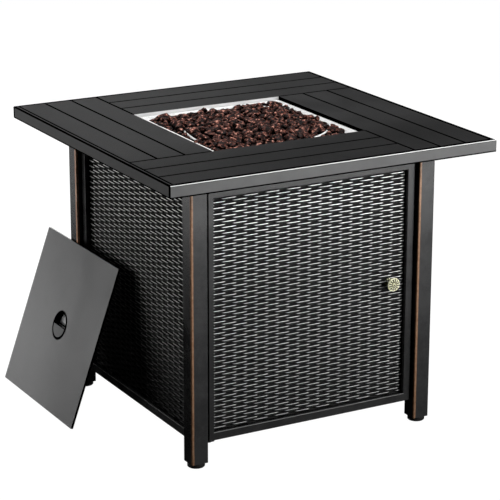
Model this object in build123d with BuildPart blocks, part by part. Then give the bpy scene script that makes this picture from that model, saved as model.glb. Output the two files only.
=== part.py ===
from build123d import *
import os
from math import sin, cos, radians, sqrt

# Square propane fire pit table. Origin at the floor, under the middle of the
# table; +Z up; the door is on the -Y side. All sizes in millimetres.

# ---------------------------------------------------------------- driving sizes
TOP = 762.0            # tabletop, square
H = 640.0              # height of the top face
RIM = 26.0             # folded rim height
SHEET = 2.2            # tabletop sheet
LINE_W, LINE_D = 4.0, 1.2      # pressed lines between the boards
BOARD = 63.0           # board width
OPEN = 183.0           # half width of the opening
LEDGE = 168.0          # half width of the hole in the ledge
BASE = 290.6           # half width over the posts
TUBE = 38.0            # post tube
WALL = 1.6
POST_Z0, POST_Z1 = 10.0, 613.6
FT = 17.0              # panel and door frame tube
INSET = 12.0           # frame face behind the post face
WEAVE = 13.0           # woven sheet behind the frame face
GAP = 3.0              # frame to post
DOOR_R = 2.6           # upright edges of the door frame
PANEL_Z0, PANEL_Z1 = 53.0, 588.0
DOOR_Z0, DOOR_Z1 = 51.0, 588.0
RAIL_Z0, RAIL_Z1 = 589.0, 613.6
FLANGE_Z = 632.2       # top face of the bowl flange
MOUTH = 164.8          # half width of the bowl at the flange
BOWL_FLOOR = 560.0
LID = 364.0
LID_T = 5.2
LEAN = 19.38           # lid leaning angle from upright
LID_X = -416.7
LID_Y0 = 33.0
KNOB_X, KNOB_Z = 197.0, 323.5
VALVE_X, IGN_X, CTRL_Z = 110.0, 178.0, 546.0
PANEL_Y = -232.0       # front face of the control panel
TANK_R = 104.0

HALF = TOP / 2
INNER = BASE - TUBE            # post inner faces
FACE = BASE - INSET            # frame faces
POST_C = BASE - TUBE / 2
FRAME_HALF = INNER - GAP

os.makedirs("parts", exist_ok=True)


def save(built, label):
    built.part.label = label
    export_step(built.part, f"parts/{label}.step")


# ---------------------------------------------------------------- tabletop
groove_c = [OPEN, OPEN + BOARD, OPEN + 2 * BOARD]      # board line positions
lip = HALF - 8.0
with BuildPart() as tabletop:
    with BuildSketch(Plane.XY.offset(H - RIM)):
        Rectangle(TOP, TOP)
    extrude(amount=RIM)
    fillet(tabletop.edges().group_by(Axis.Z)[-1], 3.0)
    with BuildSketch(Plane.XY.offset(H - RIM)):
        Rectangle(TOP - 2 * WALL, TOP - 2 * WALL)
    extrude(amount=RIM - SHEET, mode=Mode.SUBTRACT)
    # wall and ledge of the opening, hanging under the sheet
    with BuildSketch(Plane.XY.offset(FLANGE_Z - 1.2 - WALL)):
        Rectangle(2 * (OPEN + WALL), 2 * (OPEN + WALL))
    extrude(amount=H - SHEET - (FLANGE_Z - 1.2 - WALL))
    with BuildSketch(Plane.XY.offset(FLANGE_Z - 1.2)):
        Rectangle(2 * OPEN, 2 * OPEN)
    extrude(amount=20, mode=Mode.SUBTRACT)
    with BuildSketch(Plane.XY.offset(FLANGE_Z - 10)):
        Rectangle(2 * LEDGE, 2 * LEDGE)
    extrude(amount=20, mode=Mode.SUBTRACT)
    # line inside the rim lip, and the board lines of the pinwheel
    with BuildSketch(Plane.XY.offset(H)):
        Rectangle(2 * lip, 2 * lip)
        Rectangle(2 * (lip - LINE_W), 2 * (lip - LINE_W), mode=Mode.SUBTRACT)
        for k, (ux, uy) in enumerate([(1, 0), (0, 1), (-1, 0), (0, -1)]):
            for g in groove_c:
                if g == OPEN:
                    a, b = OPEN, lip - 1
                else:
                    a, b = -OPEN, lip - 1
                # board line at distance g from the middle on side k, running from a to b
                cx, cy = g, -(a + b) / 2
                px, py = cx * ux - cy * uy, cx * uy + cy * ux
                with Locations((px, py)):
                    if uy == 0:
                        Rectangle(LINE_W, abs(b - a))
                    else:
                        Rectangle(abs(b - a), LINE_W)
    extrude(amount=-LINE_D, mode=Mode.SUBTRACT)
save(tabletop, "tabletop")

# ---------------------------------------------------------------- frame under the top
with BuildPart() as under_top_frame:
    with BuildSketch(Plane.XY.offset(RAIL_Z1)):
        Rectangle(2 * BASE, 2 * BASE)
        Rectangle(2 * (BASE - 25), 2 * (BASE - 25), mode=Mode.SUBTRACT)
    extrude(amount=H - SHEET - RAIL_Z1)
    with BuildSketch(Plane.XY.offset(RAIL_Z1 + WALL)):
        Rectangle(2 * (BASE - WALL), 2 * (BASE - WALL))
        Rectangle(2 * (BASE - 25 + WALL), 2 * (BASE - 25 + WALL), mode=Mode.SUBTRACT)
    extrude(amount=H - SHEET - RAIL_Z1 - 2 * WALL, mode=Mode.SUBTRACT)
    # bolt holes over the posts
    with BuildSketch(Plane.XY.offset(RAIL_Z1 - 1)):
        with GridLocations(2 * (BASE - 12.5), 2 * (BASE - 12.5), 2, 2):
            Circle(3.4)
    extrude(amount=4, mode=Mode.SUBTRACT)
save(under_top_frame, "under_top_frame")

# ---------------------------------------------------------------- posts, nuts and feet
corners = {"front_left": (-1, -1), "front_right": (1, -1), "back_left": (-1, 1), "back_right": (1, 1)}
for place, (sx, sy) in corners.items():
    with BuildPart() as post:
        with BuildSketch(Plane.XY.offset(POST_Z0)):
            with Locations((sx * POST_C, sy * POST_C)):
                RectangleRounded(TUBE, TUBE, 2.5)
                RectangleRounded(TUBE - 2 * WALL, TUBE - 2 * WALL, 1.0, mode=Mode.SUBTRACT)
        extrude(amount=POST_Z1 - POST_Z0)
        # welded end plate that takes the tabletop bolt
        with BuildSketch(Plane.XY.offset(POST_Z1 - 3)):
            with Locations((sx * POST_C, sy * POST_C)):
                Rectangle(TUBE - 2 * WALL, TUBE - 2 * WALL)
            with Locations((sx * (BASE - 12.5), sy * (BASE - 12.5))):
                Circle(3.4, mode=Mode.SUBTRACT)
        extrude(amount=3)
    save(post, f"post_{place}")

    with BuildPart() as foot:
        with BuildSketch(Plane.XY):
            with Locations((sx * POST_C, sy * POST_C)):
                Circle(18.5)
        extrude(amount=9.6)
        chamfer(foot.edges().group_by(Axis.Z)[0], 1.5)
        fillet(foot.edges().group_by(Axis.Z)[-1], 1.5)
        with BuildSketch(Plane.XY.offset(9.0)):
            with Locations((sx * POST_C, sy * POST_C)):
                Circle(3.95)
        extrude(amount=33.0)
    save(foot, f"foot_{place}")

with BuildPart() as foot_nuts:
    with BuildSketch(Plane.XY.offset(POST_Z0)):
        with GridLocations(2 * POST_C, 2 * POST_C, 2, 2):
            RectangleRounded(TUBE - 2 * WALL, TUBE - 2 * WALL, 1.0)
    extrude(amount=18)
    with BuildSketch(Plane.XY.offset(POST_Z0 - 1)):
        with GridLocations(2 * POST_C, 2 * POST_C, 2, 2):
            Circle(4.0)
    extrude(amount=30, mode=Mode.SUBTRACT)
save(foot_nuts, "foot_nuts")

# ---------------------------------------------------------------- top rails
rail_in = BASE - 4.6           # outer face of the rails
rail_w = 25.0
for name, plane_x, sgn in (("front", False, -1), ("back", False, 1), ("left", True, -1), ("right", True, 1)):
    c = sgn * (rail_in - rail_w / 2)
    with BuildPart() as rail:
        with BuildSketch(Plane.XY.offset(RAIL_Z0)):
            with Locations((c, 0) if plane_x else (0, c)):
                if plane_x:
                    Rectangle(rail_w, 2 * INNER)
                else:
                    Rectangle(2 * INNER, rail_w)
        extrude(amount=RAIL_Z1 - RAIL_Z0)
        with BuildSketch(Plane.XY.offset(RAIL_Z0 + WALL)):
            with Locations((c, 0) if plane_x else (0, c)):
                if plane_x:
                    Rectangle(rail_w - 2 * WALL, 2 * INNER)
                else:
                    Rectangle(2 * INNER, rail_w - 2 * WALL)
        extrude(amount=RAIL_Z1 - RAIL_Z0 - 2 * WALL, mode=Mode.SUBTRACT)
        if name == "front":
            # hole for the upper door pivot
            with BuildSketch(Plane.XY.offset(RAIL_Z0 - 1)):
                with Locations((-FRAME_HALF + FT / 2, -FACE + FT / 2)):
                    Circle(4.0)
            extrude(amount=WALL + 2, mode=Mode.SUBTRACT)
    save(rail, f"rail_{name}_top")


# ---------------------------------------------------------------- fixed panels
# Each panel is a square-tube frame with a woven-look sheet set back inside it.
def frame_piece(face, z0, z1):
    """Tube frame in the plane of a side: face is the sketch plane of the frame's front."""
    with BuildPart() as fr:
        with BuildSketch(face):
            with Locations((0, (z0 + z1) / 2)):
                RectangleRounded(2 * FRAME_HALF, z1 - z0, 1.0)
        extrude(amount=-FT)
        with BuildSketch(face):
            with Locations((0, (z0 + z1) / 2)):
                Rectangle(2 * (FRAME_HALF - FT), z1 - z0 - 2 * FT)
        extrude(amount=-FT, mode=Mode.SUBTRACT)
        # hollow of the tube
        inner_face = face.offset(-1.2)
        with BuildSketch(inner_face):
            with Locations((0, (z0 + z1) / 2)):
                Rectangle(2 * (FRAME_HALF - 1.2), z1 - z0 - 2.4)
                Rectangle(2 * (FRAME_HALF - FT + 1.2), z1 - z0 - 2 * FT + 2.4, mode=Mode.SUBTRACT)
        extrude(amount=-(FT - 2.4), mode=Mode.SUBTRACT)
    return fr


def weave_piece(face, z0, z1):
    with BuildPart() as sh:
        with BuildSketch(face.offset(-WEAVE)):
            with Locations((0, (z0 + z1) / 2)):
                Rectangle(2 * (FRAME_HALF - FT), z1 - z0 - 2 * FT)
        extrude(amount=-1.4)
    return sh


front_face = Plane((0, -FACE, 0), x_dir=(1, 0, 0), z_dir=(0, -1, 0))
back_face = Plane((0, FACE, 0), x_dir=(-1, 0, 0), z_dir=(0, 1, 0))
left_face = Plane((-FACE, 0, 0), x_dir=(0, -1, 0), z_dir=(-1, 0, 0))
right_face = Plane((FACE, 0, 0), x_dir=(0, 1, 0), z_dir=(1, 0, 0))
for name, face in (("left", left_face), ("right", right_face), ("back", back_face)):
    frame_part = frame_piece(face, PANEL_Z0, PANEL_Z1)
    save(frame_part, f"panel_{name}_frame")
    weave_part = weave_piece(face, PANEL_Z0, PANEL_Z1)
    save(weave_part, f"panel_{name}_weave")

# spacers with screws between the panel frames and the posts, four on each panel
with BuildPart() as panel_screws:
    for face in (left_face, right_face, back_face):
        for side in (-1, 1):
            edge = Plane(face.from_local_coords((side * FRAME_HALF, 0, -FT / 2)), x_dir=face.z_dir, z_dir=face.x_dir * side)
            for z in (110.0, 530.0):
                with BuildSketch(edge):
                    with Locations(tuple(edge.to_local_coords(Vector(edge.origin.X, edge.origin.Y, z)))[:2]):
                        Circle(4.0)
                extrude(amount=GAP)
save(panel_screws, "panel_screws")

# ---------------------------------------------------------------- door
PIV_X, PIV_Y = -FRAME_HALF + FT / 2, -FACE + FT / 2
door_face = front_face
door_frame = frame_piece(door_face, DOOR_Z0, DOOR_Z1)
with BuildPart() as door_frame_bored:
    add(door_frame.part)
    with BuildSketch(Plane.XY.offset(DOOR_Z0 - 1)):
        with Locations((PIV_X, PIV_Y)):
            Circle(6.0)
    extrude(amount=4, mode=Mode.SUBTRACT)
    with BuildSketch(Plane.XY.offset(DOOR_Z1 - 3)):
        with Locations((PIV_X, PIV_Y)):
            Circle(6.0)
    extrude(amount=4, mode=Mode.SUBTRACT)
    # rounded upright edges, so that the hung stile turns clear of the post
    with BuildSketch(Plane.XY.offset(DOOR_Z0)):
        with Locations((0, -FACE + FT / 2)):
            RectangleRounded(2 * FRAME_HALF, FT, DOOR_R)
    extrude(amount=DOOR_Z1 - DOOR_Z0, mode=Mode.INTERSECT)
save(door_frame_bored, "door_frame")

door_weave = weave_piece(door_face, DOOR_Z0, DOOR_Z1)
with BuildPart() as door_weave_bored:
    add(door_weave.part)
    with BuildSketch(front_face):
        with Locations((KNOB_X, KNOB_Z)):
            Circle(2.6)
    extrude(amount=-30, mode=Mode.SUBTRACT)
save(door_weave_bored, "door_weave")

with BuildPart() as door_bushes:
    for z0 in (DOOR_Z0, DOOR_Z1 - 16):
        with BuildSketch(Plane.XY.offset(z0)):
            with Locations((PIV_X, PIV_Y)):
                Circle(6.0)
                Circle(4.0, mode=Mode.SUBTRACT)
        extrude(amount=16)
save(door_bushes, "door_bushes")

with BuildPart() as pivot_pin_top:
    with BuildSketch(Plane.XY.offset(DOOR_Z1 - 13)):
        with Locations((PIV_X, PIV_Y)):
            Circle(3.95)
    extrude(amount=RAIL_Z0 + WALL - DOOR_Z1 + 13)
    with BuildSketch(Plane.XY.offset(RAIL_Z0 + WALL)):
        with Locations((PIV_X, PIV_Y)):
            Circle(6.5)
    extrude(amount=2.5)
save(pivot_pin_top, "pivot_pin_top")

BRK_Z = DOOR_Z0 - 0.4
with BuildPart() as pivot_bracket:
    with BuildSketch(Plane.XY.offset(BRK_Z - 2)):
        with Locations(((-INNER + PIV_X + 9) / 2, PIV_Y)):
            Rectangle(PIV_X + 9 + INNER, 16)
        with Locations((PIV_X, PIV_Y)):
            Circle(4.0, mode=Mode.SUBTRACT)
    extrude(amount=2)
    with BuildSketch(Plane.XY.offset(BRK_Z - 24)):
        with Locations((-INNER + 1, PIV_Y)):
            Rectangle(2, 16)
    extrude(amount=22)
save(pivot_bracket, "pivot_bracket")

with BuildPart() as pivot_pin_bottom:
    with BuildSketch(Plane.XY.offset(BRK_Z - 2)):
        with Locations((PIV_X, PIV_Y)):
            Circle(3.95)
    extrude(amount=16)
    with BuildSketch(Plane.XY.offset(BRK_Z - 4)):
        with Locations((PIV_X, PIV_Y)):
            Circle(5.5)
    extrude(amount=2)
save(pivot_pin_bottom, "pivot_pin_bottom")

# knob: turned base, waisted shank and a petalled rosette face
knob_plane = Plane((KNOB_X, -FACE + WEAVE, KNOB_Z), x_dir=(1, 0, 0), z_dir=(0, -1, 0))
with BuildPart() as door_knob_base:
    with BuildSketch(knob_plane):
        Circle(10.0)
    extrude(amount=3.0)
    fillet(door_knob_base.edges().sort_by(Axis.Y)[0], 1.0)
    with BuildSketch(knob_plane):
        Circle(2.6)
    extrude(amount=3.0, mode=Mode.SUBTRACT)
save(door_knob_base, "door_knob_base")

with BuildPart() as door_knob:
    with BuildSketch(Plane((KNOB_X, 0, KNOB_Z), x_dir=(1, 0, 0), z_dir=(0, 0, 1))):
        with BuildLine():
            y0 = -FACE + WEAVE - 3.0
            Polyline((0, y0), (6.0, y0), (5.0, y0 - 6), (6.0, y0 - 11), (14.0, y0 - 14), (15.0, y0 - 16.5),
                     (13.0, y0 - 19), (5.0, y0 - 20.5), (0, y0 - 20.5), (0, y0))
        make_face()
    revolve(axis=Axis((KNOB_X, 0, KNOB_Z), (0, 1, 0)))
    with BuildSketch(knob_plane.offset(3.0)):
        Circle(2.1)
    extrude(amount=12, mode=Mode.SUBTRACT)
    # gaps between the petals
    with BuildSketch(knob_plane.offset(3.0)):
        with PolarLocations(15.4, 8):
            Circle(2.0)
    extrude(amount=24, mode=Mode.SUBTRACT)
save(door_knob, "door_knob")

with BuildPart() as door_knob_screw:
    with BuildSketch(knob_plane.offset(-1.4 - 2.4)):
        Circle(4.5)
    extrude(amount=2.4)
    with BuildSketch(knob_plane.offset(-1.4)):
        Circle(2.0)
    extrude(amount=1.4 + 3.0 + 11.0)
save(door_knob_screw, "door_knob_screw")

back_of_door = -FACE + FT
with BuildPart() as door_strike:
    with BuildSketch(Plane((0, back_of_door, 0), x_dir=(-1, 0, 0), z_dir=(0, 1, 0))):
        with Locations((-(FRAME_HALF - FT / 2), 420.0)):
            RectangleRounded(14, 36, 2)
    extrude(amount=1.5)
save(door_strike, "door_strike")

with BuildPart() as magnet_catch:
    with BuildSketch(Plane((0, back_of_door + 1.8, 0), x_dir=(-1, 0, 0), z_dir=(0, 1, 0))):
        with Locations((-(INNER - 8), 420.0)):
            Rectangle(16, 40)
    extrude(amount=14)
    chamfer(magnet_catch.edges().filter_by(Axis.Y).group_by(Axis.X)[0], 2)
save(magnet_catch, "magnet_catch")

# ---------------------------------------------------------------- base plate
SIDE = FACE - FT               # inner faces of the panel frames
BP_Z = 56.0
with BuildPart() as base_plate:
    with BuildSketch(Plane.XY.offset(BP_Z)):
        with Locations((0, (SIDE - 256.0) / 2)):
            Rectangle(2 * SIDE, SIDE + 256.0)
        with GridLocations(2 * POST_C, 2 * POST_C, 2, 2):
            Rectangle(TUBE, TUBE, mode=Mode.SUBTRACT)
    extrude(amount=WALL)
    with BuildSketch(Plane.XY.offset(BP_Z)):
        with Locations((-SIDE + WALL / 2, 0), (SIDE - WALL / 2, 0)):
            Rectangle(WALL, 2 * INNER)
        with Locations((0, SIDE - WALL / 2)):
            Rectangle(2 * INNER, WALL)
    extrude(amount=22)
    with BuildSketch(Plane.XY.offset(BP_Z)):
        Circle(TANK_R + WALL)
    extrude(amount=12)
    with BuildSketch(Plane.XY.offset(BP_Z)):
        Circle(TANK_R)
    extrude(amount=12, mode=Mode.SUBTRACT)
save(base_plate, "base_plate")

with BuildPart() as base_screws:
    for sx in (-1, 1):
        with BuildSketch(Plane((sx * (SIDE - WALL), 0, 0), x_dir=(0, -sx, 0), z_dir=(-sx, 0, 0))):
            with Locations((-180, 67), (180, 67)):
                Circle(4.5)
        extrude(amount=2.6)
    with BuildSketch(Plane((0, SIDE - WALL, 0), x_dir=(1, 0, 0), z_dir=(0, -1, 0))):
        with Locations((-180, 67), (180, 67)):
            Circle(4.5)
    extrude(amount=2.6)
save(base_screws, "base_screws")

with BuildPart() as tabletop_bolts:
    at = 2 * (BASE - 12.5)
    for z, r, h in ((POST_Z1 - 3 - 4.6, 6.0, 4.6), (POST_Z1 - 3, 3.3, 3 + WALL), (RAIL_Z1 + WALL, 6.0, 5.0)):
        with BuildSketch(Plane.XY.offset(z)):
            with GridLocations(at, at, 2, 2):
                Circle(r) if r < 5 else RegularPolygon(r, 6)
        extrude(amount=h)
save(tabletop_bolts, "tabletop_bolts")

# ---------------------------------------------------------------- burner bowl
BOWL_T = 1.2
FOLD_Z = 614.0         # fold between the sloped and the straight part of the wall
ROD_X, ROD_Y = 105.0, 22.0     # electrode and thermocouple beside the burner
with BuildPart() as burner_bowl:
    with BuildSketch(Plane.XY.offset(FLANGE_Z - BOWL_T)):
        RectangleRounded(2 * (OPEN - 1.5), 2 * (OPEN - 1.5), 3)
    extrude(amount=BOWL_T)
    with BuildSketch(Plane.XY.offset(FLANGE_Z - BOWL_T)):
        RectangleRounded(2 * (MOUTH + BOWL_T), 2 * (MOUTH + BOWL_T), 12)
    with BuildSketch(Plane.XY.offset(FOLD_Z)):
        RectangleRounded(2 * (150 + BOWL_T), 2 * (150 + BOWL_T), 70 + BOWL_T)
    loft()
    with BuildSketch(Plane.XY.offset(BOWL_FLOOR - BOWL_T)):
        RectangleRounded(2 * (150 + BOWL_T), 2 * (150 + BOWL_T), 70 + BOWL_T)
    extrude(amount=FOLD_Z - BOWL_FLOOR + BOWL_T)
    with BuildSketch(Plane.XY.offset(FLANGE_Z)):
        RectangleRounded(2 * MOUTH, 2 * MOUTH, 10.8)
    with BuildSketch(Plane.XY.offset(FOLD_Z)):
        RectangleRounded(300, 300, 70)
    loft(mode=Mode.SUBTRACT)
    with BuildSketch(Plane.XY.offset(BOWL_FLOOR)):
        RectangleRounded(300, 300, 70)
    extrude(amount=FOLD_Z - BOWL_FLOOR, mode=Mode.SUBTRACT)
    with BuildSketch(Plane.XY.offset(BOWL_FLOOR - 5)):
        Circle(10.6)
        with Locations((ROD_X, -ROD_Y)):
            Circle(3.7)
        with Locations((ROD_X, ROD_Y)):
            Circle(3.2)
    extrude(amount=10, mode=Mode.SUBTRACT)
save(burner_bowl, "burner_bowl")

RING_R, RING_T, RING_Z = 80.0, 8.0, 578.0
with BuildPart() as burner_ring:
    with BuildSketch(Plane.XY.offset(536)):
        Circle(10.5)
    extrude(amount=31)
    with BuildSketch(Plane.XY.offset(566)):
        Circle(14)
    extrude(amount=24)
    with BuildSketch(Plane.YZ.offset(-RING_R)):
        with Locations((0, RING_Z)):
            Circle(6.0)
    extrude(amount=2 * RING_R)
    with BuildSketch(Plane.XZ):
        with Locations((RING_R, RING_Z)):
            RectangleRounded(2 * RING_T, 2 * RING_T, 4)
    revolve(axis=Axis.Z)
    with BuildSketch(Plane.XY.offset(536)):
        Circle(7.5)
    extrude(amount=34, mode=Mode.SUBTRACT)
    # gas ports
    with BuildSketch(Plane.XY.offset(RING_Z + 4)):
        with PolarLocations(RING_R, 18, start_angle=10):
            Circle(1.6)
    extrude(amount=8, mode=Mode.SUBTRACT)
save(burner_ring, "burner_ring")

with BuildPart() as burner_nut:
    with BuildSketch(Plane.XY.offset(BOWL_FLOOR - BOWL_T - 6)):
        RegularPolygon(19, 6)
        Circle(10.6, mode=Mode.SUBTRACT)
    extrude(amount=6)
save(burner_nut, "burner_nut")

MIX_Z = 536.0
elbow_top = BOWL_FLOOR - BOWL_T - 6 - 0.8
with BuildPart() as inlet_elbow:
    with BuildSketch(Plane.XY.offset(522.5)):
        with Locations((0, -8.5)):
            Rectangle(30, 47)
    extrude(amount=elbow_top - 522.5)
    fillet(inlet_elbow.edges().filter_by(Axis.Z), 5)
    with BuildSketch(Plane.XY.offset(529)):
        Circle(10.6)
    extrude(amount=30, mode=Mode.SUBTRACT)
    with BuildSketch(Plane.XZ.offset(18)):
        with Locations((0, MIX_Z)):
            Circle(11.0)
    extrude(amount=20, mode=Mode.SUBTRACT)
    with BuildSketch(Plane.XZ.offset(5)):
        with Locations((0, MIX_Z)):
            Circle(6.0)
    extrude(amount=20, mode=Mode.SUBTRACT)
save(inlet_elbow, "inlet_elbow")

with BuildPart() as air_mixer:
    with BuildSketch(Plane.XZ.offset(18)):
        with Locations((0, MIX_Z)):
            Circle(11.0)
            Circle(8.0, mode=Mode.SUBTRACT)
    extrude(amount=84)
    with BuildSketch(Plane.XZ.offset(102)):
        with Locations((0, MIX_Z)):
            Circle(12.5)
            Circle(5.0, mode=Mode.SUBTRACT)
    extrude(amount=8)
    # air slots
    with BuildSketch(Plane.XY.offset(MIX_Z - 20)):
        with Locations((0, -78)):
            SlotOverall(22, 7, rotation=90)
    extrude(amount=40, mode=Mode.SUBTRACT)
save(air_mixer, "air_mixer")

# ---------------------------------------------------------------- valve and igniter behind the door
BACK = PANEL_Y + 1.5           # back face of the control panel
with BuildPart() as control_panel:
    with BuildSketch(Plane.YZ.offset(60)):
        with BuildLine():
            rb = -rail_in + rail_w
            Polyline((PANEL_Y, 500), (BACK, 500), (BACK, 592), (rb + 1.5, 592), (rb + 1.5, 612), (rb, 612),
                     (rb, 590.5), (PANEL_Y, 590.5), (PANEL_Y, 500))
        make_face()
    extrude(amount=168)
    with BuildSketch(Plane.XZ.offset(-PANEL_Y - 5)):
        with Locations((VALVE_X, CTRL_Z)):
            Circle(8.2)
        with Locations((IGN_X, CTRL_Z)):
            Circle(9.2)
    extrude(amount=10, mode=Mode.SUBTRACT)
save(control_panel, "control_panel")

with BuildPart() as control_screws:
    with BuildSketch(Plane((0, -rail_in + rail_w + 1.5, 0), x_dir=(-1, 0, 0), z_dir=(0, 1, 0))):
        with Locations((-90, 602), (-200, 602)):
            Circle(4.2)
    extrude(amount=2.4)
save(control_screws, "control_screws")


def along_y(x, z, y):
    """Sketch plane across the Y axis at (x, y, z); extrusion runs towards the front."""
    return Plane((x, y, z), x_dir=(1, 0, 0), z_dir=(0, -1, 0))


with BuildPart() as valve_body:
    with BuildSketch(along_y(VALVE_X, CTRL_Z, -192)):
        RectangleRounded(30, 30, 3)
    extrude(amount=-192 - BACK)
    with BuildSketch(along_y(VALVE_X, CTRL_Z, BACK)):
        Circle(8.0)
    extrude(amount=6.9)
    with BuildSketch(along_y(VALVE_X, CTRL_Z, -200)):
        Circle(7.5)
    extrude(amount=24, mode=Mode.SUBTRACT)
    with BuildSketch(along_y(VALVE_X, CTRL_Z, -220)):
        Circle(4.05)
    extrude(amount=30, mode=Mode.SUBTRACT)
save(valve_body, "valve_body")

with BuildPart() as valve_nut:
    with BuildSketch(along_y(VALVE_X, CTRL_Z, PANEL_Y)):
        RegularPolygon(12.5, 6)
        Circle(8.05, mode=Mode.SUBTRACT)
    extrude(amount=4)
save(valve_nut, "valve_nut")

with BuildPart() as stem_collar:
    with BuildSketch(along_y(VALVE_X, CTRL_Z, -217)):
        Circle(7.4)
        Circle(4.05, mode=Mode.SUBTRACT)
    extrude(amount=6)
save(stem_collar, "stem_collar")

with BuildPart() as valve_stem:
    with BuildSketch(along_y(VALVE_X, CTRL_Z, -205)):
        Circle(4.0)
    extrude(amount=46)
save(valve_stem, "valve_stem")

with BuildPart() as control_knob:
    with BuildSketch(along_y(VALVE_X, CTRL_Z, -241)):
        Circle(19.0)
    extrude(amount=5)
    with BuildSketch(along_y(VALVE_X, CTRL_Z, -246)):
        Circle(15.5)
    extrude(amount=10, taper=6)
    with BuildSketch(along_y(VALVE_X, CTRL_Z, -246)):
        Rectangle(7, 29)
    extrude(amount=10.5)
    fillet(control_knob.edges().filter_by(GeomType.CIRCLE).group_by(Axis.Y)[0], 0.8)
    with BuildSketch(along_y(VALVE_X, CTRL_Z, -241)):
        Circle(4.0)
    extrude(amount=10, mode=Mode.SUBTRACT)
save(control_knob, "control_knob")

with BuildPart() as inlet_fitting:
    with BuildSketch(Plane.XY.offset(CTRL_Z - 15)):
        with Locations((VALVE_X, -211)):
            RegularPolygon(11.5, 6)
    extrude(amount=-7)
    with BuildSketch(Plane.XY.offset(CTRL_Z - 22)):
        with Locations((VALVE_X, -211)):
            Circle(7.94)
    extrude(amount=-15)
    with BuildSketch(Plane.XY.offset(CTRL_Z - 37)):
        with Locations((VALVE_X, -211)):
            Circle(3.5)
    extrude(amount=20, mode=Mode.SUBTRACT)
save(inlet_fitting, "inlet_fitting")

with BuildPart() as igniter_body:
    with BuildSketch(along_y(IGN_X, CTRL_Z, -186)):
        Circle(14)
    extrude(amount=-186 - BACK)
    with BuildSketch(along_y(IGN_X, CTRL_Z, BACK)):
        Circle(9.0)
    extrude(amount=11.5)
    with BuildSketch(along_y(IGN_X, CTRL_Z, -221)):
        Circle(7.55)
    extrude(amount=30, mode=Mode.SUBTRACT)
save(igniter_body, "igniter_body")

with BuildPart() as igniter_nut:
    with BuildSketch(along_y(IGN_X, CTRL_Z, PANEL_Y)):
        RegularPolygon(14, 6)
        Circle(9.05, mode=Mode.SUBTRACT)
    extrude(amount=4)
save(igniter_nut, "igniter_nut")

with BuildPart() as igniter_button:
    with BuildSketch(along_y(IGN_X, CTRL_Z, -227)):
        Circle(7.5)
    extrude(amount=22)
    fillet(igniter_button.edges().group_by(Axis.Y)[0], 2.0)
save(igniter_button, "igniter_button")

with BuildPart() as electrode:
    for z, r, h in ((545, 3.5, 47), (BOWL_FLOOR - BOWL_T - 5, 7.0, 5), (592, 1.2, 10)):
        with BuildSketch(Plane.XY.offset(z)):
            with Locations((ROD_X, -ROD_Y)):
                Circle(r)
        extrude(amount=h)
save(electrode, "electrode")

with BuildPart() as thermocouple:
    for z, r, h in ((540, 3.0, 56), (BOWL_FLOOR - BOWL_T - 6, 7.0, 6)):
        with BuildSketch(Plane.XY.offset(z)):
            with Locations((ROD_X, ROD_Y)):
                Circle(r)
        extrude(amount=h)
    fillet(thermocouple.edges().group_by(Axis.Z)[-1], 2.0)
save(thermocouple, "thermocouple")


# tubes and leads held inside: straight runs joined by tangent arcs
def routed(points, radius, bore=0.0, bend=15.0):
    with BuildPart() as run:
        with BuildLine():
            path = FilletPolyline(*points, radius=bend)
        with BuildSketch(Plane(path @ 0, z_dir=path % 0)):
            Circle(radius)
            if bore:
                Circle(bore, mode=Mode.SUBTRACT)
        sweep()
    return run


gas_tube = routed([(VALVE_X, -192, CTRL_Z), (VALVE_X, -152, CTRL_Z), (0, -152, MIX_Z), (0, -110, MIX_Z)], 5.0, 3.6, 24.0)
save(gas_tube, "gas_tube")
igniter_wire = routed([(IGN_X, -186, CTRL_Z), (IGN_X, -150, CTRL_Z), (ROD_X, -90, 530), (ROD_X, -ROD_Y, 526), (ROD_X, -ROD_Y, 545)],
                      1.6, 0.0, 12.0)
save(igniter_wire, "igniter_wire")
thermocouple_lead = routed([(VALVE_X + 15, -204, 540), (VALVE_X + 34, -204, 540), (VALVE_X + 34, -70, 527), (140, ROD_Y, 524),
                            (ROD_X, ROD_Y, 524), (ROD_X, ROD_Y, 540)], 1.5, 0.0, 9.0)
save(thermocouple_lead, "thermocouple_lead")

# ---------------------------------------------------------------- lava rock
# The loose rock as one bed with a mounded top, clear of the burner and its rods.
with BuildPart() as lava_rock:
    with BuildSketch(Plane.XY.offset(BOWL_FLOOR)):
        RectangleRounded(299, 299, 69.5)
    extrude(amount=FOLD_Z - BOWL_FLOOR)
    with BuildSketch(Plane.XY.offset(FOLD_Z)):
        RectangleRounded(299, 299, 69.5)
    with BuildSketch(Plane.XY.offset(630)):
        RectangleRounded(210, 210, 60)
    loft()
    with BuildSketch(Plane.XY.offset(BOWL_FLOOR)):
        Circle(RING_R + RING_T + 0.6)
        Circle(RING_R - RING_T - 0.6, mode=Mode.SUBTRACT)
        Rectangle(2 * RING_R, 15)
        Circle(15)
    extrude(amount=RING_Z + RING_T + 0.6 - BOWL_FLOOR, mode=Mode.SUBTRACT)
    with BuildSketch(Plane.XY.offset(BOWL_FLOOR)):
        Circle(15)
        with Locations((ROD_X, -ROD_Y), (ROD_X, ROD_Y)):
            Circle(5)
    extrude(amount=46, mode=Mode.SUBTRACT)
save(lava_rock, "lava_rock")

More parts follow.
